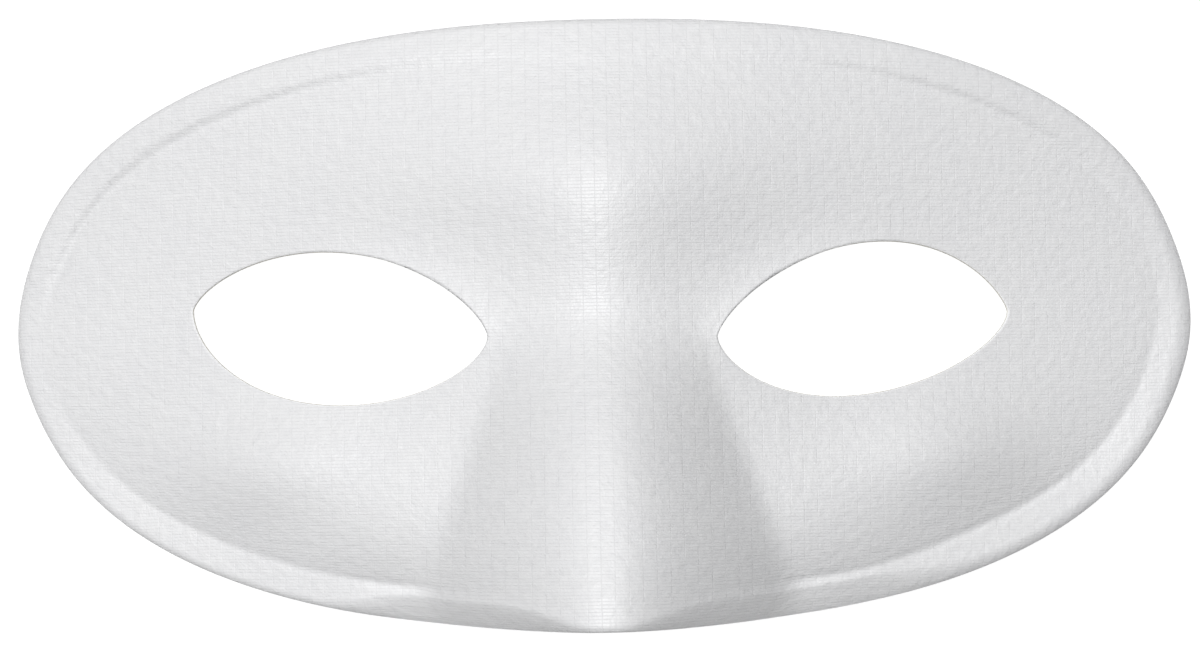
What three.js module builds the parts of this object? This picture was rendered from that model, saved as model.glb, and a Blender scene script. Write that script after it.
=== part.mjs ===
// Half mask: a plain oval domino for the eyes and the bridge of the nose.
// One moulded shell with two eye holes and a rolled rim all round, lying on its back edge.
// Millimetres. x runs across the mask, y up to the brow, z out of the face.

import * as THREE from 'three';
import { mergeVertices } from 'three/addons/utils/BufferGeometryUtils.js';

// Outline seen from the front: half an oval above the eye line, half a rounder one below it. The two
// ends are drawn out a little
const halfWidth = 84;
const browHeight = 42.2;
const chinDepth = 43.35;
const browSquareness = 2.46;
const chinSquareness = 2.35;
const endPoint = 1.7;
const endSpread = 7.5;

// Shell and rim. The rim starts at rimWidth, and its flange runs from the crease to the edge
const shellThickness = 1.2;
const hemThickness = 1.7;
const edgeThickness = 3.0;
const rimWidth = 7;
const creaseInset = 4.8;
const creaseHalfWidth = 0.9;
const floorTrim = 1.0;

// Downward slope of the flange towards the edge. It is steepest at the middle of the brow, where the
// crease fades out, and nearly level below the eyes
const flangeSlope = 0.2;
const flangeSlopeAtBrow = 0.17;
const flangeSlopeAtNose = -0.08;
const flangeFadeStart = -8;
const flangeFadeEnd = 12;
const browFade = 22;

// Over the eyes the flange stands over the shell as a bead, and the crease beside it is pressed in
const beadRise = 0.75;
const grooveDepth = 0.3;

// The edge's front is rolled: narrow on the slants, wider at the ends, and under the nose a wide and nearly
// straight bevel, apart from the crest of the nose
const edgeRadius = 1;
const edgeRadiusAtNose = 2.6;
const edgePower = 2.0;
const edgePowerAtNose = 1.2;
const endsMiddle = -2;
const endsReach = 14;
const crestReach = 6;
const besideNose = 36;
const besideNoseReach = 8;
const noseLineFadeStart = 5;
const noseLineFadeEnd = 30;

// The rim was turned by hand, so its two sides differ a little. The fades run along x at the nose and
// along y at the brow, and the other values are added at the end, below the eyes or beside the nose
const rimSides = {
  right: {
    noseFadeStart: 36, noseFadeEnd: 58, pressedStart: 12, pressedEnd: 34,
    depthAtNose: 1.7, slopeAtEnd: 0.18, slopeBelow: 0, slopeBesideNose: 0.2,
    creaseAtEnd: -0.2, creaseBelow: 0.9, radiusAtEnd: 1.5, radiusBelow: 0.9,
    hemAtEnd: 0.9,
  },
  left: {
    noseFadeStart: 28, noseFadeEnd: 42, pressedStart: 0, pressedEnd: 14,
    depthAtNose: 2.7, slopeAtEnd: 0.3, slopeBelow: 0.13, slopeBesideNose: 0,
    creaseAtEnd: -0.9, creaseBelow: 0, radiusAtEnd: 0.5, radiusBelow: 0.1,
    hemAtEnd: 0,
  },
};

// Curve of the whole mask round the head
const sideDrop = 24.2;
const sidePower = 1.74;
const browLift = 2.97;
const chinDrop = 8.04;
const chinDropAtSides = 1.2;
const curveHalfWidth = 85;
const curveHeight = 44;

// Soft swellings and hollows. A mirrored one stands on both sides of the nose line. The eye sockets
// meet there in a wider curve than the rest
const swellings = [
  { name: 'brow and bridge', rise: 19.18, x: 0, spreadX: 24.7, y: 12, spreadY: 13.1 },
  { name: 'nose crest', rise: 7.16, x: 0, spreadX: 16.7, y: -15.6, spreadY: 10.1 },
  { name: 'cheek', rise: 9.86, x: 26.6, spreadX: 19.7, y: -31.4, spreadY: 11 },
  { name: 'outer cheek', rise: 3.62, x: 48.4, spreadX: 9.1, y: -19.7, spreadY: 5.4 },
  { name: 'eye socket', rise: -7.87, x: 15.7, spreadX: 17.7, y: 9.7, spreadY: 9, round: 6 },
];

// Nose: a ridge with a round crest and straight flanks, which starts between the eyes and widens downwards
const nose = {
  startY: 0.17, startSoftness: 4, length: 38.5, height: 31.13, power: 1.22,
  footHalfWidth: 12.05, widening: 13.8, crestRound: 8.6, footSoftness: 0.12,
};
const noseLineRound = 1.2;

// Eye holes: pointed ovals, cut by hand, so the two differ a little. Right is at positive x, on the
// right hand of someone who looks at the mask, and x is measured away from the nose
const eyeHoles = {
  right: {
    x: 36.85, y: -1.2, halfLength: 21.05, up: 11.4, down: 9.95, upPower: 1.42, downPower: 1.26,
    leanUp: 2.1, leanDown: -2.1, slant: 4.7,
  },
  left: {
    x: 37.4, y: 0.3, halfLength: 21.5, up: 9.9, down: 11.7, upPower: 1.37, downPower: 1.2,
    leanUp: 0.3, leanDown: 1.75, slant: 7,
  },
};

// How finely the form is faceted. Steps along the edge crowd together towards the nose, and rings
// towards the eye hole. The stretch spreads the lines between eye hole and edge evenly
const arcSteps = 46;
const arcCrowding = 1.3;
const noseLineSteps = 14;
const ringSteps = 11;
const ringCrowding = 1.15;
const eyeStretch = 1.3;

// The cloth at an eye hole turns up a little at the inner upper corner, and the hole is cut straight down
const eyeWallReach = 1.5;
const eyeEdgeRise = 1.3;
const eyeEdgeReach = 3.2;
const eyeEdgeTurn = 2.4;
const eyeEdgeRound = 0.25;

const satinColour = 0xe9eaea;

function swell(value, middle, spread) {
  return Math.exp(-0.5 * ((value - middle) / spread) ** 2);
}

function softPositive(value, softness) {
  return 0.5 * (value + Math.hypot(value, softness));
}

// Distance from the nose line, rounded off over the crest so that both flanks join smoothly
function rounded(x) {
  return Math.log(Math.cosh(x / nose.crestRound));
}

// Height of the shell's front over the eye plane, before the rim is shaped
function bodyHeight(x, y) {
  const side = Math.hypot(x, noseLineRound);
  const across = side / curveHalfWidth;
  const drop = y > 0 ? -browLift : chinDrop * (1 + chinDropAtSides * across);
  let height = -sideDrop * across ** sidePower - drop * (y / curveHeight) ** 2;
  for (const form of swellings) {
    const beside = Math.hypot(x, form.round ?? noseLineRound);
    height += form.rise * swell(beside, form.x, form.spreadX) * swell(y, form.y, form.spreadY);
  }
  const along = softPositive(nose.startY - y, nose.startSoftness) / nose.length;
  const foot = nose.footHalfWidth + nose.widening * along;
  const ridge = softPositive(1 - rounded(x) / rounded(foot), nose.footSoftness);
  return height + nose.height * along ** nose.power * ridge;
}

// Direction straight out of the shell's front
function bodyNormal(x, y) {
  const step = 0.05;
  const slopeX = (bodyHeight(x + step, y) - bodyHeight(x - step, y)) / (2 * step);
  const slopeY = (bodyHeight(x, y + step) - bodyHeight(x, y - step)) / (2 * step);
  return new THREE.Vector3(-slopeX, -slopeY, 1).normalize();
}

function bodyPoint(x, y) {
  return new THREE.Vector3(x, y, bodyHeight(x, y));
}

// Point of the outline: turn runs from -PI / 2 at the nose to PI / 2 at the brow
function outlinePoint(turn) {
  const angle = Math.atan2(0.5 * (browHeight + chinDepth) * Math.sin(turn), halfWidth * Math.cos(turn));
  const [height, power] = turn > 0 ? [browHeight, browSquareness] : [chinDepth, chinSquareness];
  const across = Math.abs(Math.cos(angle)) / halfWidth;
  const up = Math.abs(Math.sin(angle)) / height;
  let radius = (across ** power + up ** power) ** (-1 / power);
  radius += endPoint * Math.cos(angle) * swell(radius * Math.sin(angle), 0, endSpread);
  return new THREE.Vector2(radius * Math.cos(angle), radius * Math.sin(angle));
}

// Everything that a rim section needs at one place of the outline
function rimStation(turn, side) {
  const step = 1e-3;
  const point = outlinePoint(turn);
  const tangent = outlinePoint(turn + step).sub(outlinePoint(turn - step)).normalize();
  const outward = new THREE.Vector3(tangent.y, -tangent.x, 0);
  if (Math.abs(turn) > Math.PI / 2 - 1e-6) {
    point.x = 0;
    tangent.set(-Math.sign(turn), 0);
    outward.set(0, Math.sign(turn), 0);
  }
  const atBrow = turn > 0 ? swell(point.x, 0, browFade) : 0;
  const beyondNose = THREE.MathUtils.smoothstep(point.x, side.noseFadeStart, side.noseFadeEnd);
  const atNose = turn < 0 ? 1 - beyondNose : 0;
  const underNose = atNose * (1 - swell(point.x, 0, crestReach));
  // What differs between the sides fades out before the nose line, where they meet
  const aside = THREE.MathUtils.smoothstep(point.x, noseLineFadeStart, noseLineFadeEnd);
  const atEnd = aside * swell(point.y, endsMiddle, endsReach);
  const above = THREE.MathUtils.smoothstep(point.y, flangeFadeStart, flangeFadeEnd);
  const below = (1 - above) * (1 - atNose);
  const pressed = THREE.MathUtils.smoothstep(point.y, side.pressedStart, side.pressedEnd) * (1 - atBrow);
  let slope = flangeSlope * above + flangeSlopeAtBrow * atBrow + flangeSlopeAtNose * atNose;
  slope += side.slopeAtEnd * atEnd + side.slopeBelow * below;
  if (turn < 0) slope += side.slopeBesideNose * aside * swell(point.x, besideNose, besideNoseReach);
  const roll = edgeRadius + side.radiusAtEnd * atEnd + side.radiusBelow * below * (1 - atEnd);
  const radius = roll + edgeRadiusAtNose * underNose;
  const depth = roll + side.depthAtNose * underNose;
  const power = THREE.MathUtils.lerp(edgePower, edgePowerAtNose, underNose);
  const inset = creaseInset + side.creaseAtEnd * atEnd + side.creaseBelow * below;
  const station = { point, outward, slope, radius, depth, power, creaseInset: inset };
  station.crease = insetPoint(station, inset);
  station.lowest = -Math.max(edgeThickness + side.hemAtEnd * atEnd, depth + 0.5);
  station.bead = pressed * beadRise;
  station.groove = pressed * grooveDepth;

  const normal = bodyNormal(station.crease.x, station.crease.y);
  const along = -(normal.x * tangent.x + normal.y * tangent.y) / normal.z;
  station.upright = new THREE.Vector3(-along * tangent.x, -along * tangent.y, 1).normalize();
  return station;
}

// Place in plan, inset in from the edge
function insetPoint(station, inset) {
  return new THREE.Vector2(
    station.point.x - inset * station.outward.x,
    station.point.y - inset * station.outward.y,
  );
}

// A point over or under the shell beside the flange
function shellSidePoint(station, inset, lift) {
  const place = insetPoint(station, inset);
  return bodyPoint(place.x, place.y).addScaledVector(bodyNormal(place.x, place.y), lift);
}

// A point over or under the flange, which runs straight out from the crease
function flangePoint(station, inset, lift) {
  const place = insetPoint(station, inset);
  const height = bodyHeight(station.crease.x, station.crease.y) + station.bead
    - station.slope * (station.creaseInset - inset);
  return new THREE.Vector3(place.x, place.y, height).addScaledVector(station.upright, lift);
}

// The rim's closed section, from the front of the shell round the edge to its back
function rimSection(station) {
  const { radius, depth, power, lowest, groove, bead } = station;
  const shellSide = station.creaseInset + creaseHalfWidth;
  const section = [
    shellSidePoint(station, 0.5 * (rimWidth + shellSide), 0),
    shellSidePoint(station, shellSide, -0.4 * groove),
    shellSidePoint(station, station.creaseInset, 0.5 * bead - groove),
    flangePoint(station, station.creaseInset - creaseHalfWidth, -0.3 * groove),
  ];
  for (const bend of [0, 0.2, 0.4, 0.7, 1]) {
    const angle = bend * Math.PI / 2;
    const out = Math.sin(angle) ** (2 / power);
    const down = 1 - Math.max(0, Math.cos(angle)) ** (2 / power);
    section.push(flangePoint(station, radius * (1 - out), -depth * down));
  }
  section.push(
    flangePoint(station, 0.1, lowest + 0.3),
    flangePoint(station, 0.5, lowest),
    flangePoint(station, 2.1, lowest),
    flangePoint(station, 3.1, 0.5 * (lowest - hemThickness)),
    flangePoint(station, 4.2, -hemThickness),
    shellSidePoint(station, 5.9, -hemThickness),
  );
  return section;
}

function eyePoint(eye, turn) {
  const sine = Math.sin(turn);
  const upper = sine >= 0;
  const lean = upper ? eye.leanUp : eye.leanDown;
  const height = upper ? eye.up : eye.down;
  const power = upper ? eye.upPower : eye.downPower;
  const offset = new THREE.Vector2(
    eye.halfLength * Math.cos(turn) + lean * sine ** 2,
    Math.sign(sine) * height * Math.abs(sine) ** power,
  );
  offset.rotateAround(new THREE.Vector2(), THREE.MathUtils.degToRad(eye.slant));
  return offset.add(new THREE.Vector2(eye.x, eye.y));
}

// The turn of the eye hole's edge that faces a place on the mask
function eyeTurn(eye, place) {
  return Math.atan2(eyeStretch * (place.y - eye.y), place.x - eye.x);
}

// The closed line round one half of the shell: along the inside of the rim, then down the nose line
function halfBorder(stations) {
  const border = stations.map((station) => insetPoint(station, rimWidth));
  const top = border[arcSteps];
  const bottom = border[0];
  for (let i = 1; i < noseLineSteps; i++) {
    border.push(new THREE.Vector2(0, THREE.MathUtils.lerp(top.y, bottom.y, i / noseLineSteps)));
  }
  return border;
}

// One ring of points, a share of the way from the eye hole to the border, lifted off the shell's curve
function shellRing(eye, border, share, lift) {
  return border.map((end) => {
    const turn = eyeTurn(eye, end);
    const edge = eyePoint(eye, turn);
    const outward = edge.clone().sub(new THREE.Vector2(eye.x, eye.y)).setLength(eyeEdgeRound);
    const start = edge.add(outward);
    const place = start.clone().lerp(end, share);
    const corner = Math.max(0, Math.cos(turn - eyeEdgeTurn)) ** 2;
    const away = place.distanceTo(start);
    const rise = share < 1 ? eyeEdgeRise * corner * Math.exp(-away / eyeEdgeReach) : 0;
    const normal = bodyNormal(place.x, place.y);
    const upright = Math.exp(-away / eyeWallReach);
    const direction = normal.clone().lerp(new THREE.Vector3(0, 0, 1), upright).normalize();
    return bodyPoint(place.x, place.y).addScaledVector(normal, rise).addScaledVector(direction, lift);
  });
}

// The rounded edge inside the eye hole, halfway between the front and the back
function eyeLip(eye, border, frontRing, backRing) {
  return border.map((end, i) => {
    const edge = eyePoint(eye, eyeTurn(eye, end));
    return new THREE.Vector3(edge.x, edge.y, 0.5 * (frontRing[i].z + backRing[i].z));
  });
}

// One half of the mask, on the side of positive x: rows of points for its shell and its rim
function halfMask(eye, side) {
  const stations = [];
  for (let i = 0; i <= arcSteps; i++) {
    stations.push(rimStation(Math.PI * ((i / arcSteps) ** arcCrowding - 0.5), side));
  }
  const border = halfBorder(stations);
  const front = [];
  const back = [];
  for (let ring = 0; ring <= ringSteps; ring++) {
    const share = (ring / ringSteps) ** ringCrowding;
    front.push(shellRing(eye, border, share, 0));
    back.push(shellRing(eye, border, share, -shellThickness));
  }
  const lip = eyeLip(eye, border, front[0], back[0]);

  const sections = stations.map(rimSection);
  const rim = [front[ringSteps].slice(0, arcSteps + 1)];
  for (let row = 0; row < sections[0].length; row++) rim.push(sections.map((section) => section[row]));
  rim.push(back[ringSteps].slice(0, arcSteps + 1));
  return { shell: [...back.reverse(), lip, ...front], rim };
}

// Triangles of a grid of rows, each row closed on itself or open
function gridTriangles(rows, closed, mirrored) {
  const triangles = [];
  const columns = rows[0].length;
  for (let row = 0; row + 1 < rows.length; row++) {
    for (let column = 0; column < (closed ? columns : columns - 1); column++) {
      const next = (column + 1) % columns;
      const corners = [rows[row][column], rows[row][next], rows[row + 1][next], rows[row + 1][column]];
      triangles.push([corners[0], corners[2], corners[1]], [corners[0], corners[3], corners[2]]);
    }
  }
  const side = mirrored ? -1 : 1;
  return triangles.map((triangle) => {
    const ordered = mirrored ? triangle.slice().reverse() : triangle;
    return ordered.map((corner) => new THREE.Vector3(side * corner.x, corner.y, corner.z));
  });
}

function maskGeometry() {
  const corners = [];
  for (const [side, mirrored] of [['right', false], ['left', true]]) {
    const half = halfMask(eyeHoles[side], rimSides[side]);
    corners.push(...gridTriangles(half.shell, true, mirrored).flat());
    corners.push(...gridTriangles(half.rim, false, mirrored).flat());
  }
  // The lowest part of the hem is flat where the mask rests on it
  const floor = Math.min(...corners.map((corner) => corner.z)) + floorTrim;
  for (const corner of corners) corner.z = Math.max(corner.z, floor) - floor;
  const geometry = new THREE.BufferGeometry().setFromPoints(corners);
  return mergeVertices(geometry, 1e-4);
}

const satin = new THREE.MeshStandardMaterial({ color: satinColour, roughness: 0.62, metalness: 0 });

const mask = new THREE.Mesh(maskGeometry(), satin);
mask.name = 'half_mask';
mask.position.y = 0.5 * (chinDepth - browHeight);

const part = new THREE.Group();
part.add(mask);

export default part;
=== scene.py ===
# %% [markdown]
# Half mask, a lesson in moulded cloth
#
# A plain half mask of the domino kind is one sheet: stiffened cloth covered with satin, laid over a warm
# mould and pressed. It keeps the mould's soft relief, and its edge is turned under all round.
# The CAD model gives its size and its place on the table. This lesson makes the fine surface around it:
# first the camera, then the shell, the rim and the eye holes, then the cloth.

import bpy
import numpy as np
from mathutils import Matrix, Vector


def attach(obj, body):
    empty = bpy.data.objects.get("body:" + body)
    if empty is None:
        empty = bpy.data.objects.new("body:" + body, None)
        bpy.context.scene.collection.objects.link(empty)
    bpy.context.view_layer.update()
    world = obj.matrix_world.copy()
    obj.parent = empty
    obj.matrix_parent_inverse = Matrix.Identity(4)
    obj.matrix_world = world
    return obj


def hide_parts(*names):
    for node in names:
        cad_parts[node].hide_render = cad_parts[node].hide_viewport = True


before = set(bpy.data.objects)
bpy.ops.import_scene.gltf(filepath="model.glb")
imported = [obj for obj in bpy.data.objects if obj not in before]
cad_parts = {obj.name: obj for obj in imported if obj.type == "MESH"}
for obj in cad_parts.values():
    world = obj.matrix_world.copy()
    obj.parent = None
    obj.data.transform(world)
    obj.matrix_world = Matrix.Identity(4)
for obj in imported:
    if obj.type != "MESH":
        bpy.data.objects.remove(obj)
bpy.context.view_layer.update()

# %% [markdown]
# ## Camera
#
# The photograph looks almost straight down on the mask, from about 0.7 m, with the mask turned a little
# in the picture. The tilt, the turn and the distance were found from the outline of the mask and of the
# eye holes. A long lens at that distance keeps the perspective as weak as it is in the photograph.

# %% Camera
MM = 0.001
PICTURE_WIDTH = 1200
PICTURE_HEIGHT = 646
PIXELS_PER_MM = 6.855
CAMERA_DISTANCE = 700.0
CAMERA_TOWARDS_LEFT_EYE = np.radians(0.25)
CAMERA_TOWARDS_CHIN = np.radians(2.15)
MASK_TURN = np.radians(1.1)
TARGET = (0.0, 0.5, 2.0)
TARGET_PIXEL = (604.0, 326.2)


def make_camera():
    towards = Vector((np.sin(CAMERA_TOWARDS_LEFT_EYE), -np.sin(CAMERA_TOWARDS_CHIN), 0.0))
    towards.z = np.sqrt(1.0 - towards.length_squared)
    right = Vector((0.0, 1.0, 0.0)).cross(towards).normalized()
    turn = Matrix((right, towards.cross(right), towards)).transposed()
    turn = turn @ Matrix.Rotation(-MASK_TURN, 3, "Z")
    data = bpy.data.cameras.new("camera")
    data.sensor_width = 36.0
    data.lens = data.sensor_width * CAMERA_DISTANCE * PIXELS_PER_MM / PICTURE_WIDTH
    data.shift_x = (0.5 * PICTURE_WIDTH - TARGET_PIXEL[0]) / PICTURE_WIDTH
    data.shift_y = (TARGET_PIXEL[1] - 0.5 * PICTURE_HEIGHT) / PICTURE_WIDTH
    camera = bpy.data.objects.new("camera", data)
    place = (Vector(TARGET) + CAMERA_DISTANCE * towards) * MM
    camera.matrix_world = Matrix.Translation(place) @ turn.to_4x4()
    bpy.context.scene.collection.objects.link(camera)
    return camera


camera = make_camera()
bpy.context.scene.camera = camera
print("camera", [round(value, 3) for value in camera.location], "lens", round(camera.data.lens, 1))

# %% [markdown]
# ## The form of the shell
#
# On the real mask the mould gives the form. Sculpting it by hand would work too, but then the form
# would be hard to correct. Here it is a height over the eye plane, added up from a few named shapes:
# the curve round the head, soft swellings and hollows, and the ridge of the nose.
# All sizes are in millimetres, as in the CAD model, and numpy works out thousands of points at a time.

# %% Driving sizes
HALF_WIDTH = 84.0
BROW_HEIGHT = 42.2
CHIN_DEPTH = 43.35
BROW_SQUARENESS = 2.46
CHIN_SQUARENESS = 2.35
# The outline comes to a soft point at both ends: how far it stands out, and how far up it reaches
END_POINT = 1.7
END_SPREAD = 7.5
SHELL_THICKNESS = 1.2
FLOOR_TRIM = 1.0

SIDE_DROP = 24.2
SIDE_POWER = 1.74
BROW_LIFT = 2.97
CHIN_DROP = 8.04
CHIN_DROP_AT_SIDES = 1.2
CURVE_HALF_WIDTH = 85.0
CURVE_HEIGHT = 44.0

# Rise, place and spread of each form, which stands on both sides of the nose line. Its round value is
# how softly the two sides meet there, and NOSE_LINE_ROUND goes for all that have none
SWELLINGS = {
    "brow and bridge": {"rise": 19.18, "x": 0.0, "spread_x": 24.7, "y": 12.0, "spread_y": 13.1},
    "nose crest": {"rise": 7.16, "x": 0.0, "spread_x": 16.7, "y": -15.6, "spread_y": 10.1},
    "cheek": {"rise": 9.86, "x": 26.6, "spread_x": 19.7, "y": -31.4, "spread_y": 11.0},
    "outer cheek": {"rise": 3.62, "x": 48.4, "spread_x": 9.1, "y": -19.7, "spread_y": 5.4},
    "eye socket": {"rise": -7.87, "x": 15.7, "spread_x": 17.7, "y": 9.7, "spread_y": 9.0, "round": 6.0},
}
NOSE = {
    "start_y": 0.17, "start_softness": 4.0, "length": 38.5, "height": 31.13, "power": 1.220,
    "half_width": 12.05, "widening": 13.8, "crest_round": 8.60, "foot_softness": 0.12,
}
NOSE_LINE_ROUND = 1.2
NOSE_TIP = (0.0, -34.0)

# %% Height of the shell


def swell(value, middle, spread):
    return np.exp(-0.5 * ((value - middle) / spread) ** 2)


def soft_positive(value, softness):
    return 0.5 * (value + np.hypot(value, softness))


def rounded(x):
    """Distance from the nose line, rounded off over the crest so that both flanks join smoothly."""
    return np.log(np.cosh(x / NOSE["crest_round"]))


def shell_height(x, y):
    side = np.hypot(x, NOSE_LINE_ROUND)
    across = side / CURVE_HALF_WIDTH
    drop = np.where(y > 0, -BROW_LIFT, CHIN_DROP * (1 + CHIN_DROP_AT_SIDES * across))
    height = -SIDE_DROP * across**SIDE_POWER - drop * (y / CURVE_HEIGHT) ** 2
    for form in SWELLINGS.values():
        beside = np.hypot(x, form.get("round", NOSE_LINE_ROUND))
        height = height + form["rise"] * (
            swell(beside, form["x"], form["spread_x"]) * swell(y, form["y"], form["spread_y"])
        )
    along = soft_positive(NOSE["start_y"] - y, NOSE["start_softness"]) / NOSE["length"]
    foot = NOSE["half_width"] + NOSE["widening"] * along
    ridge = soft_positive(1 - rounded(x) / rounded(foot), NOSE["foot_softness"])
    return height + NOSE["height"] * along ** NOSE["power"] * ridge


def shell_normal(x, y, step=0.05):
    slope_x = (shell_height(x + step, y) - shell_height(x - step, y)) / (2 * step)
    slope_y = (shell_height(x, y + step) - shell_height(x, y - step)) / (2 * step)
    return unit(np.stack([-slope_x, -slope_y, np.ones_like(slope_x)], axis=-1))


def unit(vectors):
    return vectors / np.linalg.norm(vectors, axis=-1, keepdims=True)


tip_over_ends = shell_height(*NOSE_TIP) - shell_height(HALF_WIDTH, 0.0)
print("nose tip stands", round(float(tip_over_ends), 1), "mm over the ends")

# %% [markdown]
# ## The rim
#
# The satin is turned round the edge of the shell and pressed flat on the back, as a hem. In front this
# leaves a flat flange about 5 mm wide, a crease where the flange meets the moulded form, and a rolled
# edge. Over the eyes the flange stands up a little as a bead, with a fine groove along its inside, and
# both fade out at the middle of the brow. Below the eyes the flange lies level, and under the nose the
# edge is folded back as a wide, nearly straight bevel, apart from the crest of the nose.
#
# A bevel on the finished mesh would be the same everywhere, so the rim is swept instead: one section is
# worked out at each of many stations along the outline, and each station has its own slope and radius.
# The rim is turned by hand, so the left and the right side have a few values of their own.

# %% Stations along the outline
RIM_WIDTH = 9.0
CREASE_INSET = 4.8
CREASE_SOFTNESS = 0.9
FLANGE_SLOPE = 0.2
FLANGE_SLOPE_AT_BROW = 0.17
FLANGE_SLOPE_AT_NOSE = -0.08
FLANGE_FADE = (-8.0, 12.0)
BROW_FADE = 22.0
BEAD_RISE = 0.75
GROOVE_DEPTH = 0.3
GROOVE_WIDTH = 0.8
EDGE_THICKNESS = 3.0
EDGE_RADIUS = 1.0
EDGE_RADIUS_AT_NOSE = 2.6
EDGE_POWER = 2.0
EDGE_POWER_AT_NOSE = 1.2
BESIDE_NOSE = (36.0, 8.0)
NOSE_LINE_FADE = (5.0, 30.0)
ENDS_MIDDLE = -2.0
ENDS_REACH = 14.0
CREST_REACH = 6.0

# Fades run from the first value to the second, along x at the nose and along y at the brow
RIM_SIDES = {
    "right": {
        "nose_fade": (58.0, 36.0), "pressed_from": (12.0, 34.0), "depth_at_nose": 1.7,
        "slope_at_end": 0.18, "slope_below": 0.0, "slope_beside_nose": 0.2,
        "crease_at_end": -0.2, "crease_below": 0.9, "radius_at_end": 1.5, "radius_below": 0.9,
        "hem_at_end": 0.9,
    },
    "left": {
        "nose_fade": (42.0, 28.0), "pressed_from": (0.0, 14.0), "depth_at_nose": 2.7,
        "slope_at_end": 0.3, "slope_below": 0.13, "slope_beside_nose": 0.0,
        "crease_at_end": -0.9, "crease_below": 0.0, "radius_at_end": 0.5, "radius_below": 0.1,
        "hem_at_end": 0.0,
    },
}

ARC_STEPS = 240
ARC_CROWDING = 1.3
TANGENT_STEP = 1e-3


def outline_point(turn):
    angle = np.arctan2(0.5 * (BROW_HEIGHT + CHIN_DEPTH) * np.sin(turn), HALF_WIDTH * np.cos(turn))
    height = np.where(turn > 0, BROW_HEIGHT, CHIN_DEPTH)
    power = np.where(turn > 0, BROW_SQUARENESS, CHIN_SQUARENESS)
    across = np.abs(np.cos(angle)) / HALF_WIDTH
    up = np.abs(np.sin(angle)) / height
    radius = (across**power + up**power) ** (-1 / power)
    radius += END_POINT * np.cos(angle) * swell(radius * np.sin(angle), 0.0, END_SPREAD)
    return np.stack([radius * np.cos(angle), radius * np.sin(angle)], axis=-1)


def smooth_step(value, start, end):
    share = np.clip((value - start) / (end - start), 0.0, 1.0)
    return share * share * (3 - 2 * share)


def rim_stations(side):
    turn = np.pi * ((np.arange(ARC_STEPS + 1) / ARC_STEPS) ** ARC_CROWDING - 0.5)
    point = outline_point(turn)
    tangent = unit(outline_point(turn + TANGENT_STEP) - outline_point(turn - TANGENT_STEP))
    # Both ends lie on the nose line, where the outline runs straight across
    point[[0, -1], 0] = 0.0
    tangent[0] = (1.0, 0.0)
    tangent[-1] = (-1.0, 0.0)
    outward = np.stack([tangent[:, 1], -tangent[:, 0]], axis=-1)
    at_brow = np.where(turn > 0, swell(point[:, 0], 0.0, BROW_FADE), 0.0)
    at_nose = np.where(turn < 0, smooth_step(point[:, 0], *side["nose_fade"]), 0.0)
    under_nose = at_nose * (1 - swell(point[:, 0], 0.0, CREST_REACH))
    # What differs between the sides fades out before the nose line, where they meet
    aside = smooth_step(point[:, 0], *NOSE_LINE_FADE)
    beside_nose = aside * (turn < 0) * swell(point[:, 0], *BESIDE_NOSE)
    at_end = aside * swell(point[:, 1], ENDS_MIDDLE, ENDS_REACH)
    above = smooth_step(point[:, 1], *FLANGE_FADE)
    below = (1 - above) * (1 - at_nose)
    pressed = smooth_step(point[:, 1], *side["pressed_from"]) * (1 - at_brow)
    radius = EDGE_RADIUS + side["radius_at_end"] * at_end + side["radius_below"] * below * (1 - at_end)
    inset = CREASE_INSET + side["crease_at_end"] * at_end + side["crease_below"] * below
    crease = point - inset[:, None] * outward
    normal = shell_normal(crease[:, 0], crease[:, 1])
    along = -np.sum(normal[:, :2] * tangent, axis=-1) / normal[:, 2]
    return {
        "point": point,
        "outward": outward,
        "slope": FLANGE_SLOPE * above
        + FLANGE_SLOPE_AT_BROW * at_brow
        + FLANGE_SLOPE_AT_NOSE * at_nose
        + side["slope_at_end"] * at_end
        + side["slope_below"] * below
        + side["slope_beside_nose"] * beside_nose,
        "radius": radius + EDGE_RADIUS_AT_NOSE * under_nose,
        "depth": radius + side["depth_at_nose"] * under_nose,
        "power": EDGE_POWER + (EDGE_POWER_AT_NOSE - EDGE_POWER) * under_nose,
        "lowest": -(EDGE_THICKNESS + side["hem_at_end"] * at_end),
        "bead": pressed * BEAD_RISE,
        "groove": pressed * GROOVE_DEPTH,
        "crease_inset": inset,
        "crease_height": shell_height(crease[:, 0], crease[:, 1]),
        "upright": unit(np.column_stack([-along[:, None] * tangent, np.ones(len(turn))])),
    }


stations = {name: rim_stations(side) for name, side in RIM_SIDES.items()}
steps = np.diff(stations["right"]["point"], axis=0)
print("stations", len(steps) + 1, "round half of an outline of",
      round(2 * float(np.sum(np.linalg.norm(steps, axis=-1)))), "mm")

# %% Section of the rim
HEM_THICKNESS = 1.7
HEM_WIDTH = 8.2
HEM_CORNER = 0.5
# Insets between which the hem comes down from the thick edge to its own thickness
HEM_THINS = (1.6, 4.4)
FRONT_ROWS = 27
EDGE_ROWS = 10
CORNER_ROWS = 5
HEM_ROWS = 15
# Rows of the cut edge: inset past the hem's width, and lift off the front
CUT_EDGE_ROWS = (
    (0.0, -HEM_THICKNESS),
    (0.12, -HEM_THICKNESS + 0.1),
    (0.18, -SHELL_THICKNESS - 0.06),
    (0.3, -SHELL_THICKNESS),
)


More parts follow.
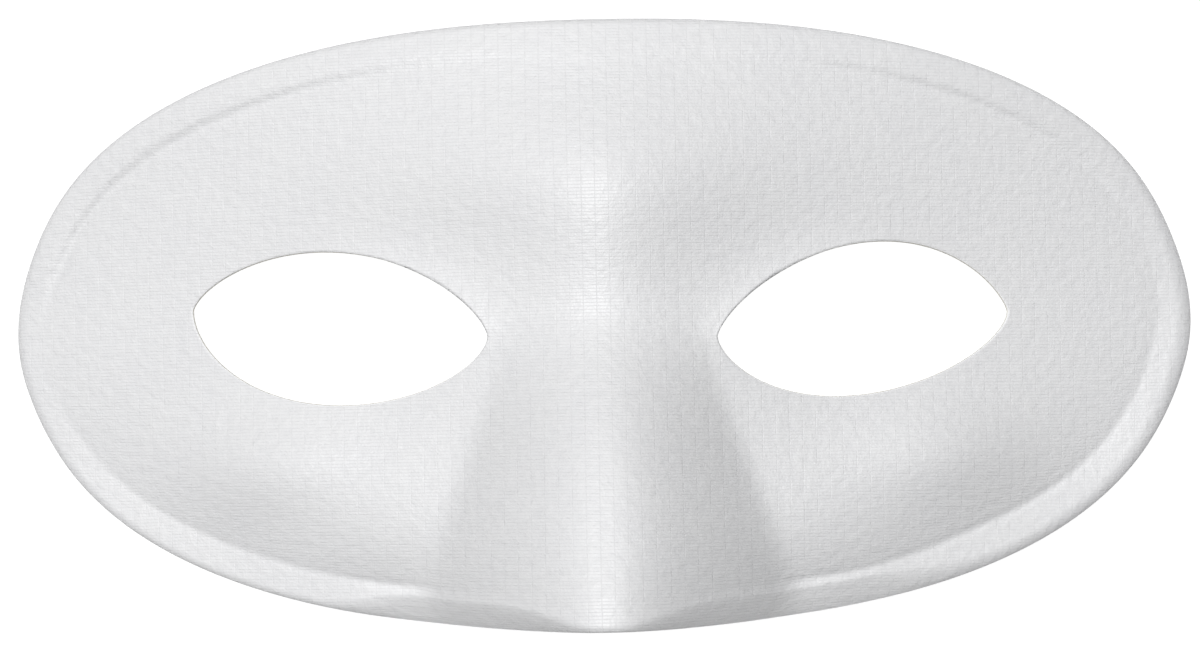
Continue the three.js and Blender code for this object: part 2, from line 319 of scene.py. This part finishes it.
def rim_point(stations, inset, lift):
    """Points of all stations at one inset from the edge, lifted off the front by so much."""
    inset = np.broadcast_to(inset, stations["radius"].shape)
    place = stations["point"] - inset[:, None] * stations["outward"]
    shell = shell_height(place[:, 0], place[:, 1])
    crease = stations["crease_inset"]
    flange = stations["crease_height"] + stations["bead"] - stations["slope"] * (crease - inset)
    share = smooth_step(inset - crease, CREASE_SOFTNESS, -CREASE_SOFTNESS)
    groove = stations["groove"] * swell(inset, crease, GROOVE_WIDTH)
    height = shell + (flange - shell) * share - groove * (inset < RIM_WIDTH)
    normal = shell_normal(place[:, 0], place[:, 1])
    direction = unit(normal + (stations["upright"] - normal) * share[:, None])
    return np.column_stack([place, height]) + np.reshape(lift, (-1, 1)) * direction


def rim_rows(stations):
    """The section's points from the shell's front, round the edge, to the cut edge of the hem."""
    radius = stations["radius"]
    depth, power = stations["depth"], stations["power"]
    lowest = np.minimum(stations["lowest"], -depth - HEM_CORNER)
    rows = []
    for share in np.linspace(0.0, 1.0, FRONT_ROWS):
        rows.append(rim_point(stations, RIM_WIDTH + (radius - RIM_WIDTH) * share, 0.0))
    for angle in np.linspace(0.0, 0.5 * np.pi, EDGE_ROWS)[1:]:
        out, down = np.sin(angle) ** (2 / power), 1 - np.cos(angle) ** (2 / power)
        rows.append(rim_point(stations, radius * (1 - out), -depth * down))
    for share in (0.5, 1.0):
        rows.append(rim_point(stations, 0.0, -depth + (lowest + HEM_CORNER + depth) * share))
    for angle in np.linspace(0.0, 0.5 * np.pi, CORNER_ROWS)[1:]:
        turned = HEM_CORNER * (1 - np.cos(angle))
        rows.append(rim_point(stations, turned, lowest + HEM_CORNER * (1 - np.sin(angle))))
    for share in np.linspace(0.0, 1.0, HEM_ROWS)[1:]:
        inset = HEM_CORNER + (HEM_WIDTH - HEM_CORNER) * share
        sunk = smooth_step(inset, *HEM_THINS)
        rows.append(rim_point(stations, inset, lowest + (-HEM_THICKNESS - lowest) * sunk))
    return rows


def hem_edge_rows(stations):
    """The cut edge of the hem, from the hem down to the lining."""
    return [rim_point(stations, HEM_WIDTH + past, lift) for past, lift in CUT_EDGE_ROWS]


print("rim section has", len(rim_rows(stations["right"])), "rows")

# %% [markdown]
# ## The eye holes and the grid of the shell
#
# The eye holes are pointed ovals, cut after pressing, and the two are not quite alike. A boolean cut
# would leave long thin faces round a hole, and they would show as dents in the smooth cloth. So each
# half of the shell is a grid of rings instead, which runs from the eye hole to the rim and to the nose
# line. The faces stay near square and the hole's edge is clean.

# %% Eye holes
EYE_HOLES = {
    "right": {
        "x": 36.85, "y": -1.2, "half_length": 21.05, "up": 11.4, "down": 9.95, "up_power": 1.42,
        "down_power": 1.26, "lean_up": 2.1, "lean_down": -2.1, "slant": 4.7,
    },
    "left": {
        "x": 37.4, "y": 0.3, "half_length": 21.5, "up": 9.9, "down": 11.7, "up_power": 1.37,
        "down_power": 1.2, "lean_up": 0.3, "lean_down": 1.75, "slant": 7.0,
    },
}
EYE_EDGE_RISE = 1.3
EYE_EDGE_REACH = 3.2
EYE_EDGE_TURN = 2.4
EYE_EDGE_ROUND = 0.22
EYE_WALL_REACH = 1.5
EYE_STRETCH = 1.3


def eye_point(eye, turn):
    sine = np.sin(turn)
    upper = sine >= 0
    lean = np.where(upper, eye["lean_up"], eye["lean_down"])
    height = np.where(upper, eye["up"], eye["down"])
    power = np.where(upper, eye["up_power"], eye["down_power"])
    x = eye["half_length"] * np.cos(turn) + lean * sine**2
    y = np.sign(sine) * height * np.abs(sine) ** power
    slant = np.radians(eye["slant"])
    return np.stack(
        [
            eye["x"] + x * np.cos(slant) - y * np.sin(slant),
            eye["y"] + x * np.sin(slant) + y * np.cos(slant),
        ],
        axis=-1,
    )


def eye_turn(eye, place):
    """The turn of the hole's edge that faces a place on the mask."""
    return np.arctan2(EYE_STRETCH * (place[:, 1] - eye["y"]), place[:, 0] - eye["x"])


print("eye holes", sorted(EYE_HOLES))

# %% Rings of one half
NOSE_LINE_STEPS = 64
RING_STEPS = 40
RING_CROWDING = 1.15
EYE_LIP_SHARES = (0.06, 0.2, 0.5, 0.8, 0.94)


def half_border(stations):
    arc = stations["point"] - RIM_WIDTH * stations["outward"]
    heights = np.linspace(arc[-1, 1], arc[0, 1], NOSE_LINE_STEPS + 1)[1:-1]
    return np.concatenate([arc, np.column_stack([np.zeros_like(heights), heights])])


def shell_ring(eye, border, share, lift):
    turn = eye_turn(eye, border)
    edge = eye_point(eye, turn)
    start = edge + EYE_EDGE_ROUND * unit(edge - np.array([eye["x"], eye["y"]]))
    place = start + (border - start) * share
    corner = np.maximum(0.0, np.cos(turn - EYE_EDGE_TURN)) ** 2
    away = np.linalg.norm(place - start, axis=-1)
    rise = EYE_EDGE_RISE * corner * np.exp(-away / EYE_EDGE_REACH) * (share < 1)
    points = np.column_stack([place, shell_height(place[:, 0], place[:, 1])])
    normal = shell_normal(place[:, 0], place[:, 1])
    upright = np.exp(-away / EYE_WALL_REACH)[:, None]
    direction = unit(normal + (np.array([0.0, 0.0, 1.0]) - normal) * upright)
    return points + rise[:, None] * normal + lift * direction


def eye_edge_rows(eye, border, front, back):
    """Rounded rows inside the eye hole, from the front's first ring to the back's."""
    edge = eye_point(eye, eye_turn(eye, border))
    rows = [front]
    for share in EYE_LIP_SHARES:
        bulge = 1 - (2 * share - 1) ** 4
        row = front + (back - front) * share
        row[:, :2] += (edge - row[:, :2]) * bulge
        rows.append(row)
    return rows + [back]


print("rings", RING_STEPS, "columns", ARC_STEPS + NOSE_LINE_STEPS)

# %% [markdown]
# ## From rows of points to one closed mesh
#
# Every part of the surface is a patch: rows of points, the place of each point on the flat cloth, and
# the material. The places on the cloth become a UV map in metres, so that the weave runs on over the
# rolled edge without a stretch. Points that two patches share are joined by their rounded coordinates,
# which closes the shell.

# %% Patches
SATIN, LINING, CUT_EDGE = 0, 1, 2


def patch(rows, material, cloth=None, closed=False, mirrored=False):
    points = np.stack(rows)
    if cloth is None:
        cloth = points[..., :2]
    if closed:
        points = np.concatenate([points, points[:, :1]], axis=1)
        cloth = np.concatenate([cloth, cloth[:, :1]], axis=1)
    side = np.array([-1.0, 1.0, 1.0]) if mirrored else np.ones(3)
    return {
        "points": points * side, "cloth": cloth * side[:2], "material": material, "mirrored": mirrored,
    }


def unrolled(stations, rows, start_inset):
    """Places on the flat cloth for rows that run outwards from one inset."""
    points = np.stack(rows)
    length = np.cumsum(np.linalg.norm(np.diff(points, axis=0), axis=-1), axis=0)
    length = np.concatenate([np.zeros((1, points.shape[1])), length]) - start_inset
    return stations["point"] + length[..., None] * stations["outward"]


def edge_cloth(rows):
    """Along the cut edge and through its thickness."""
    points = np.stack(rows)
    along = np.cumsum(np.linalg.norm(np.diff(points[0], axis=0), axis=-1))
    along = np.concatenate([[0.0], along])
    depth = np.cumsum(np.linalg.norm(np.diff(points, axis=0), axis=-1), axis=0)
    depth = np.concatenate([np.zeros((1, points.shape[1])), depth])
    return np.stack([np.broadcast_to(along, depth.shape), depth], axis=-1)


def half_patches(side, mirrored):
    eye, half = EYE_HOLES[side], stations[side]
    border = half_border(half)
    shares = (np.arange(RING_STEPS + 1) / RING_STEPS) ** RING_CROWDING
    front = [shell_ring(eye, border, share, 0.0) for share in shares]
    back = [shell_ring(eye, border, share, -SHELL_THICKNESS) for share in shares]
    lip = eye_edge_rows(eye, border, front[0], back[0])
    rim, hem_edge = rim_rows(half), hem_edge_rows(half)
    lining_strip = [hem_edge[-1], rim_point(half, RIM_WIDTH, -SHELL_THICKNESS)]
    return [
        patch(front, SATIN, closed=True, mirrored=mirrored),
        patch(back[::-1], LINING, closed=True, mirrored=mirrored),
        patch(lip[::-1], CUT_EDGE, cloth=edge_cloth(lip)[::-1], closed=True, mirrored=mirrored),
        patch(rim, SATIN, cloth=unrolled(half, rim, RIM_WIDTH), mirrored=mirrored),
        patch(hem_edge, CUT_EDGE, cloth=edge_cloth(hem_edge), mirrored=mirrored),
        patch(lining_strip, LINING, mirrored=mirrored),
    ]


patches = half_patches("right", False) + half_patches("left", True)
print("patches", len(patches))

# %% Join the patches
# Points are joined where their places agree to this many decimals of a millimetre
WELD_DECIMALS = 4


def patch_faces(one):
    """Corners, cloth places and material of a patch's faces, all turned outwards."""
    rows, columns = one["points"].shape[:2]
    row, column = np.meshgrid(np.arange(rows - 1), np.arange(columns - 1), indexing="ij")
    row, column = row.ravel(), column.ravel()
    corner_rows = np.stack([row, row + 1, row + 1, row], axis=-1)
    corner_columns = np.stack([column, column, column + 1, column + 1], axis=-1)
    if one["mirrored"]:
        corner_rows, corner_columns = corner_rows[:, ::-1], corner_columns[:, ::-1]
    points = one["points"][corner_rows, corner_columns]
    cloth = one["cloth"][corner_rows, corner_columns]
    return points, cloth, np.full(len(row), one["material"])


def on_the_floor(points, floor):
    """Points in the CAD frame: on the floor, with the middle of the outline over the origin."""
    up = np.maximum(points[..., 2], floor) - floor
    return np.stack([points[..., 0], points[..., 1] + 0.5 * (CHIN_DEPTH - BROW_HEIGHT), up], axis=-1)


def joined_mesh(name, patches, floor):
    points, cloth, material = (np.concatenate(part) for part in zip(*map(patch_faces, patches)))
    points = on_the_floor(points, floor)
    keys, index = np.unique(np.round(points.reshape(-1, 3), WELD_DECIMALS), axis=0, return_inverse=True)
    faces = index.reshape(-1, 4)
    mesh = bpy.data.meshes.new(name)
    mesh.from_pydata((keys * MM).tolist(), [], faces.tolist())
    layer = mesh.uv_layers.new(name="cloth")
    layer.data.foreach_set("uv", (cloth.reshape(-1, 2) * MM).astype(np.float32).ravel())
    mesh.polygons.foreach_set("material_index", material.astype(np.int32))
    mesh.polygons.foreach_set("use_smooth", np.ones(len(faces), dtype=bool))
    mesh.update()
    return mesh


def open_edges(mesh):
    ends = np.empty(2 * len(mesh.edges), dtype=np.int32)
    mesh.edges.foreach_get("vertices", ends)
    used = np.zeros(len(mesh.edges), dtype=np.int32)
    of_corner = np.empty(len(mesh.loops), dtype=np.int32)
    mesh.loops.foreach_get("edge_index", of_corner)
    np.add.at(used, of_corner, 1)
    return int(np.sum(used != 2))


floor_height = min(one["points"][..., 2].min() for one in patches) + FLOOR_TRIM
mask_mesh = joined_mesh("half_mask_shell", patches, floor_height)
mask = bpy.data.objects.new("half_mask_shell", mask_mesh)
bpy.context.scene.collection.objects.link(mask)
print("shell", len(mask_mesh.polygons), "faces", open_edges(mask_mesh), "open edges")

# %% [markdown]
# ## Materials
#
# Each material starts from what the real one is. A material is a small net of nodes, and one helper
# adds a node with its settings and its links, so that every material below reads as a list of steps.
# Noise, mixed colours and bumps come back in all of them, so each has a short helper of its own.
# Colours are written as sRGB hex values, as a paint chart gives them, and turned to linear once.

# %% Helpers for materials


def linear(hex_colour):
    channels = np.array([int(hex_colour[i:i + 2], 16) for i in (1, 3, 5)]) / 255
    value = np.where(channels <= 0.04045, channels / 12.92, ((channels + 0.055) / 1.055) ** 2.4)
    return (*[float(channel) for channel in value], 1.0)


def add(tree, kind, inputs=None, **settings):
    """Adds a node. An input is a value, or an output of another node that is linked to it."""
    node = tree.nodes.new(kind)
    for name, value in settings.items():
        setattr(node, name, value)
    for key, value in (inputs or {}).items():
        if isinstance(value, bpy.types.NodeSocket):
            tree.links.new(value, node.inputs[key])
        else:
            node.inputs[key].default_value = value
    return node


def noise(tree, vector, size, detail, distortion=0.0):
    """A noise pattern with spots of about the given size."""
    return add(tree, "ShaderNodeTexNoise", {
        "Vector": vector, "Scale": 1 / size, "Detail": detail, "Distortion": distortion,
    }).outputs["Fac"]


def mix(tree, factor, first, second, blend_type="MIX"):
    """Two colours, mixed by the factor."""
    return add(tree, "ShaderNodeMix", {
        "Factor": factor, "A": first, "B": second,
    }, data_type="RGBA", blend_type=blend_type).outputs["Result"]


def bump(tree, height, strength, distance, **under):
    """A bumped normal. A Normal input is the bump that this one lies on."""
    return add(tree, "ShaderNodeBump", {
        "Height": height, "Strength": strength, "Distance": distance, **under,
    }).outputs["Normal"]


def new_material(name):
    material = bpy.data.materials.new(name)
    material.use_nodes = True
    material.node_tree.nodes.clear()
    return material


def finish_material(material, shader):
    add(material.node_tree, "ShaderNodeOutputMaterial", {"Surface": shader.outputs["BSDF"]})
    print("material", material.name, "nodes", len(material.node_tree.nodes))
    return material


print("white as linear", [round(channel, 3) for channel in linear("#e2e2e3")[:3]])

# %% [markdown]
# The satin is woven from polyester, with long floats on the face. New satin shines, but this one was
# pressed hot over stiffened cloth, so it is dull, with a soft sheen. The threads lie about 0.12 mm
# apart, far too fine for the picture, so the weave is drawn about four times as coarse.
# Pressing also leaves the surface slightly mottled, where the stiffener below took more or less heat.

# %% Dull polyester satin
FLOAT_LENGTH = 1.9 * MM
THREAD_PITCH = 0.48 * MM
FIBRE_SIZE = 0.3 * MM
MOTTLE_SIZE = 1.4 * MM
CLOUD_SIZE = 11.0 * MM
WEAVE_SHADE = 0.1
WEAVE_DEPTH = 0.09 * MM
MOTTLE_DEPTH = 0.3 * MM


def dull_polyester_satin():
    material = new_material("dull_polyester_satin")
    tree = material.node_tree
    cloth = add(tree, "ShaderNodeUVMap", uv_map="cloth").outputs["UV"]
    threads = add(tree, "ShaderNodeMapping", {"Vector": cloth, "Scale": (1 / THREAD_PITCH,) * 3})
    weave = add(tree, "ShaderNodeTexBrick", {
        "Vector": threads.outputs["Vector"], "Color1": linear("#ffffff"), "Color2": linear("#e6e6e6"),
        "Mortar": linear("#d6d6d6"), "Scale": 1.0, "Mortar Size": 0.16, "Mortar Smooth": 1.0,
        "Brick Width": FLOAT_LENGTH / THREAD_PITCH, "Row Height": 1.0,
    }, offset=0.4, offset_frequency=1)
    fibre = noise(tree, cloth, FIBRE_SIZE, 1.0)
    mottle = noise(tree, cloth, MOTTLE_SIZE, 2.0)
    cloud = noise(tree, cloth, CLOUD_SIZE, 2.0)
    base = mix(tree, cloud, linear("#d6d6d7"), linear("#d9d9d9"))
    mottled = mix(tree, mottle, linear("#f7f7f8"), linear("#ffffff"))
    with_mottle = mix(tree, 1.0, base, mottled, "MULTIPLY")
    with_weave = mix(tree, WEAVE_SHADE, with_mottle, weave.outputs["Color"], "MULTIPLY")
    relief = add(tree, "ShaderNodeMath", {0: weave.outputs["Fac"], 1: -0.6}, operation="MULTIPLY")
    relief = add(tree, "ShaderNodeMath", {0: fibre, 1: relief.outputs[0]}, operation="ADD")
    fine = bump(tree, relief.outputs[0], 0.5, WEAVE_DEPTH)
    coarse = bump(tree, mottle, 0.6, MOTTLE_DEPTH, Normal=fine)
    shader = add(tree, "ShaderNodeBsdfPrincipled", {
        "Base Color": with_weave, "Roughness": 0.5, "IOR": 1.5, "Specular IOR Level": 0.38,
        "Normal": coarse,
    })
    return finish_material(material, shader)


satin = dull_polyester_satin()

# %% [markdown]
# The back isn't seen in the photograph. Such masks are lined with a thin brushed nonwoven, which is
# softer and a little warmer in colour than the satin. It is a mat of fibres that cross in all
# directions, so its pattern is two stretched noises at an angle to each other.

# %% Brushed nonwoven lining
LINING_FIBRE = 0.35 * MM
LINING_FIBRE_LENGTH = 3.2 * MM
LINING_TURNS = (24.0, 112.0)
LINING_CLUMP = 4.0 * MM
LINING_DEPTH = 0.12 * MM


def brushed_nonwoven_lining():
    material = new_material("brushed_nonwoven_lining")
    tree = material.node_tree
    cloth = add(tree, "ShaderNodeUVMap", uv_map="cloth").outputs["UV"]
    heights = []
    for turn in LINING_TURNS:
        along = add(tree, "ShaderNodeMapping", {
            "Vector": cloth, "Rotation": (0.0, 0.0, float(np.radians(turn))),
            "Scale": (1 / LINING_FIBRE_LENGTH, 1 / LINING_FIBRE, 1.0),
        })
        heights.append(noise(tree, along.outputs["Vector"], 1.0, 3.0, distortion=0.7))
    mat = add(tree, "ShaderNodeMath", {0: heights[0], 1: heights[1]}, operation="MAXIMUM").outputs[0]
    clumps = noise(tree, cloth, LINING_CLUMP, 2.0)
    shade = mix(tree, mat, linear("#d6d4cf"), linear("#ebe9e4"))
    uneven = mix(tree, clumps, linear("#f1f0ee"), linear("#ffffff"))
    colour = mix(tree, 1.0, shade, uneven, "MULTIPLY")
    shader = add(tree, "ShaderNodeBsdfPrincipled", {
        "Base Color": colour, "Roughness": 0.85, "IOR": 1.45,
        "Specular IOR Level": 0.25, "Sheen Weight": 0.25, "Sheen Roughness": 0.5,
        "Normal": bump(tree, mat, 0.8, LINING_DEPTH),
    })
    return finish_material(material, shader)


lining = brushed_nonwoven_lining()

# %% [markdown]
# Where the pressed sheet is cut, at the eye holes and along the hem, its layers show: satin, the
# stiffened core and the lining. The core is a little yellower, from the size that stiffens it.
# The UV map runs through the thickness there, so the layers are bands of one colour ramp.

# %% Cut edge of pressed cloth
LAYER_SHARES = (0.0, 0.16, 0.22, 0.8, 0.86)
LAYER_COLOURS = ("#dfdfe0", "#dcdcdc", "#d0cdc4", "#d2cfc7", "#dddbd6")
RAGGED_SIZE = 0.5 * MM
RAGGED_DEPTH = 0.12 * MM


def pressed_cloth_edge():
    material = new_material("pressed_cloth_edge")
    tree = material.node_tree
    cloth = add(tree, "ShaderNodeUVMap", uv_map="cloth").outputs["UV"]
    axes = add(tree, "ShaderNodeSeparateXYZ", {"Vector": cloth})
    ragged = noise(tree, cloth, RAGGED_SIZE, 2.0)
    # The layers wander by 0.15 of the thickness up and down
    wander = add(tree, "ShaderNodeMath", {0: ragged, 1: 0.3, 2: -0.15}, operation="MULTIPLY_ADD")
    depth = add(tree, "ShaderNodeMath", {
        0: axes.outputs["Y"], 1: 1 / (SHELL_THICKNESS * MM), 2: wander.outputs[0],
    }, operation="MULTIPLY_ADD")
    layers = add(tree, "ShaderNodeValToRGB", {"Fac": depth.outputs[0]})
    ramp = layers.color_ramp
    for _ in range(len(LAYER_SHARES) - len(ramp.elements)):
        ramp.elements.new(0.5)
    for element, share, colour in zip(ramp.elements, LAYER_SHARES, LAYER_COLOURS):
        element.position = share
        element.color = linear(colour)
    shader = add(tree, "ShaderNodeBsdfPrincipled", {
        "Base Color": layers.outputs["Color"], "Roughness": 0.8, "IOR": 1.45,
        "Specular IOR Level": 0.25, "Normal": bump(tree, ragged, 0.7, RAGGED_DEPTH),
    })
    return finish_material(material, shader)


cut_edge = pressed_cloth_edge()
for material in (satin, lining, cut_edge):
    mask_mesh.materials.append(material)

# %% [markdown]
# ## Tucks in the hem
#
# Round a curved edge the turned-under cloth is too long for its new place, so on the back it gathers in
# small tucks. Each could be modelled by hand, but there are about ninety, and they follow the edge. So a
# Geometry Nodes tree walks along the middle of the hem in even steps and sets one small ridge at each,
# across the hem. Every ridge is turned and stretched a little differently, with a fixed seed.
# The line it walks along carries two directions at each point: across the hem, and out of the back.

# %% Line along the hem
TUCK_INSET = 6.2


def hem_line(name):
    places, across, outwards = [], [], []
    for side, mirror in (("right", 1.0), ("left", -1.0)):
        half = stations[side]
        hem = rim_point(half, TUCK_INSET, -HEM_THICKNESS)
        flip = np.array([mirror, 1.0, 1.0])
        # The left half runs back, without the two points on the nose line that the right half has
        order = slice(None) if mirror > 0 else slice(-2, 0, -1)
        beside = rim_point(half, TUCK_INSET - 1.0, -HEM_THICKNESS)
        places.append((hem * flip)[order])
        across.append((unit(beside - hem) * flip)[order])
        outwards.append((unit(hem - rim_point(half, TUCK_INSET, 0.0)) * flip)[order])
    points = on_the_floor(np.concatenate(places), floor_height) * MM
    count = len(points)
    mesh = bpy.data.meshes.new(name)
    mesh.from_pydata(points.tolist(), [(i, (i + 1) % count) for i in range(count)], [])
    for key, values in (("across", across), ("outwards", outwards)):
        layer = mesh.attributes.new(key, "FLOAT_VECTOR", "POINT")
        layer.data.foreach_set("vector", np.concatenate(values).astype(np.float32).ravel())
    line = bpy.data.objects.new(name, mesh)
    bpy.context.scene.collection.objects.link(line)
    return line


tucks = hem_line("hem_tucks")
print("hem line with", len(tucks.data.vertices), "points")

# %% Geometry Nodes tree for the tucks
TUCK_INPUTS = {
    "Spacing": ("NodeSocketFloat", 4.6 * MM),
    "Size": ("NodeSocketVector", (1.8 * MM, 0.5 * MM, 0.24 * MM)),
    "Seed": ("NodeSocketInt", 7),
    "Material": ("NodeSocketMaterial", satin),
}
TUCK_SMALLEST = (0.6, 0.6, 0.5)
TUCK_LARGEST = (1.0, 1.3, 1.2)
TUCK_TURN = np.radians(14.0)


def named_vector(tree, name):
    node = add(tree, "GeometryNodeInputNamedAttribute", {"Name": name}, data_type="FLOAT_VECTOR")
    return node.outputs["Attribute"]


def tuck_tree():
    tree = bpy.data.node_groups.new("hem_tucks", "GeometryNodeTree")
    tree.interface.new_socket("Geometry", in_out="INPUT", socket_type="NodeSocketGeometry")
    for name, (kind, _) in TUCK_INPUTS.items():
        tree.interface.new_socket(name, in_out="INPUT", socket_type=kind)
    tree.interface.new_socket("Geometry", in_out="OUTPUT", socket_type="NodeSocketGeometry")
    given = add(tree, "NodeGroupInput").outputs

    line = add(tree, "GeometryNodeMeshToCurve", {"Mesh": given["Geometry"]})
    steps = add(tree, "GeometryNodeCurveToPoints", {
        "Curve": line.outputs["Curve"], "Length": given["Spacing"],
    }, mode="LENGTH")
    ball = add(tree, "GeometryNodeMeshIcoSphere", {"Radius": 1.0, "Subdivisions": 2})
    ridge = add(tree, "GeometryNodeSetShadeSmooth", {"Geometry": ball.outputs["Mesh"]})

    turn = add(tree, "FunctionNodeAlignRotationToVector", {
        "Vector": named_vector(tree, "across"),
    }, axis="X")
    turn = add(tree, "FunctionNodeAlignRotationToVector", {
        "Rotation": turn.outputs["Rotation"], "Vector": named_vector(tree, "outwards"),
    }, axis="Z", pivot_axis="X")
    # Sockets 2 and 3 are the smallest and the largest number, and output 1 is the number
    aslant = add(tree, "FunctionNodeRandomValue", {
        2: -float(TUCK_TURN), 3: float(TUCK_TURN), "Seed": given["Seed"],
    }, data_type="FLOAT")
    aslant = add(tree, "FunctionNodeAxisAngleToRotation", {
        "Axis": (0.0, 0.0, 1.0), "Angle": aslant.outputs[1],
    })
    turn = add(tree, "FunctionNodeRotateRotation", {
        "Rotation": turn.outputs["Rotation"], "Rotate By": aslant.outputs["Rotation"],
    }, rotation_space="LOCAL")
    stretch = add(tree, "FunctionNodeRandomValue", {
        "Min": TUCK_SMALLEST, "Max": TUCK_LARGEST, "Seed": given["Seed"],
    }, data_type="FLOAT_VECTOR")
    size = add(tree, "ShaderNodeVectorMath", {
        0: given["Size"], 1: stretch.outputs[0],
    }, operation="MULTIPLY")

    ridges = add(tree, "GeometryNodeInstanceOnPoints", {
        "Points": steps.outputs["Points"], "Instance": ridge.outputs["Geometry"],
        "Rotation": turn.outputs["Rotation"], "Scale": size.outputs["Vector"],
    })
    real = add(tree, "GeometryNodeRealizeInstances", {"Geometry": ridges.outputs["Instances"]})
    cloth = add(tree, "GeometryNodeStoreNamedAttribute", {
        "Geometry": real.outputs["Geometry"], "Name": "cloth",
        "Value": add(tree, "GeometryNodeInputPosition").outputs["Position"],
    }, data_type="FLOAT2", domain="CORNER")
    covered = add(tree, "GeometryNodeSetMaterial", {
        "Geometry": cloth.outputs["Geometry"], "Material": given["Material"],
    })
    add(tree, "NodeGroupOutput", {"Geometry": covered.outputs["Geometry"]})
    return tree


def grow(line, tree, inputs):
    """Runs the tree on the line, once, and keeps what it makes as a plain mesh."""
    modifier = line.modifiers.new(tree.name, "NODES")
    modifier.node_group = tree
    for item in tree.interface.items_tree:
        if item.in_out == "INPUT" and item.name in inputs:
            modifier[item.identifier] = inputs[item.name][1]
    graph = bpy.context.evaluated_depsgraph_get()
    mesh = bpy.data.meshes.new_from_object(
        line.evaluated_get(graph), preserve_all_data_layers=True, depsgraph=graph
    )
    line.modifiers.clear()
    line.data = mesh


grow(tucks, tuck_tree(), TUCK_INPUTS)
print("tucks", len(tucks.data.polygons), "faces", [layer.name for layer in tucks.data.uv_layers])

# %% [markdown]
# ## Where the pieces belong
#
# Every piece moves with a body of the CAD model, and it stands for one of its nodes. The mask is one
# stiff sheet with no joints, so the shell and the tucks ride on the one body there is.

# %% Ride on the frame
for piece in (mask, tucks):
    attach(piece, "root")
    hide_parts("half_mask")
    print("on root:", piece.name)

# %% [markdown]
# ## Floor and light
#
# The photograph shows the mask on plain white, with no shadow, in the eye holes too, and lit softly from
# the upper left, almost from the camera. A sheet of opal glass that is lit from below gives such a
# ground: its own light drowns the shadows, and it throws little of the lamp's light back on the mask.
# One broad lamp lights the mask, and a faint pale surround fills the rest.

# %% White light table
FLOOR_SIZE = 8.0
TABLE_GLOW = 0.97
GRAIN_SIZE = 1 / 900


def white_light_table():
    material = new_material("white_light_table")
    tree = material.node_tree
    place = add(tree, "ShaderNodeTexCoord").outputs["Object"]
    grain = noise(tree, place, GRAIN_SIZE, 2.0)
    shader = add(tree, "ShaderNodeBsdfPrincipled", {
        "Base Color": mix(tree, grain, linear("#5c5c5c"), linear("#646464")),
        "Roughness": 0.9, "Specular IOR Level": 0.1,
        "Emission Color": linear("#ffffff"), "Emission Strength": TABLE_GLOW,
    })
    return finish_material(material, shader)


def make_floor():
    half = 0.5 * FLOOR_SIZE
    corners = [(-half, -half, 0.0), (half, -half, 0.0), (half, half, 0.0), (-half, half, 0.0)]
    mesh = bpy.data.meshes.new("floor")
    mesh.from_pydata(corners, [], [(0, 1, 2, 3)])
    mesh.materials.append(white_light_table())
    floor = bpy.data.objects.new("floor", mesh)
    bpy.context.scene.collection.objects.link(floor)
    return floor


make_floor()

# %% Light
LAMP_DIRECTION = np.radians(129.0)
LAMP_HEIGHT = np.radians(79.5)
LAMP_STRENGTH = 4.07
LAMP_WIDTH = np.radians(16.0)
SURROUND_STRENGTH = 0.03
PICTURE_GAMMA = 0.87


def make_lamp():
    data = bpy.data.lights.new("softbox", "SUN")
    data.energy = LAMP_STRENGTH
    data.angle = float(LAMP_WIDTH)
    lamp = bpy.data.objects.new("softbox", data)
    flat = np.cos(LAMP_HEIGHT)
    towards = Vector((flat * np.cos(LAMP_DIRECTION), flat * np.sin(LAMP_DIRECTION), np.sin(LAMP_HEIGHT)))
    lamp.rotation_euler = towards.to_track_quat("Z", "Y").to_euler()
    bpy.context.scene.collection.objects.link(lamp)
    return lamp


def make_surround():
    world = bpy.data.worlds.new("surround")
    world.use_nodes = True
    tree = world.node_tree
    tree.nodes.clear()
    light = add(tree, "ShaderNodeBackground", {
        "Color": linear("#eef2fa"), "Strength": SURROUND_STRENGTH,
    })
    add(tree, "ShaderNodeOutputWorld", {"Surface": light.outputs["Background"]})
    bpy.context.scene.world = world


lamp = make_lamp()
make_surround()
bpy.context.scene.view_settings.view_transform = "Standard"
bpy.context.scene.view_settings.gamma = PICTURE_GAMMA
print("lamp from", [round(value, 2) for value in lamp.rotation_euler])

# %% [markdown]
# ## Update
#
# The view layer is brought up to date at the end.

# %% Update the view layer
bpy.context.view_layer.update()
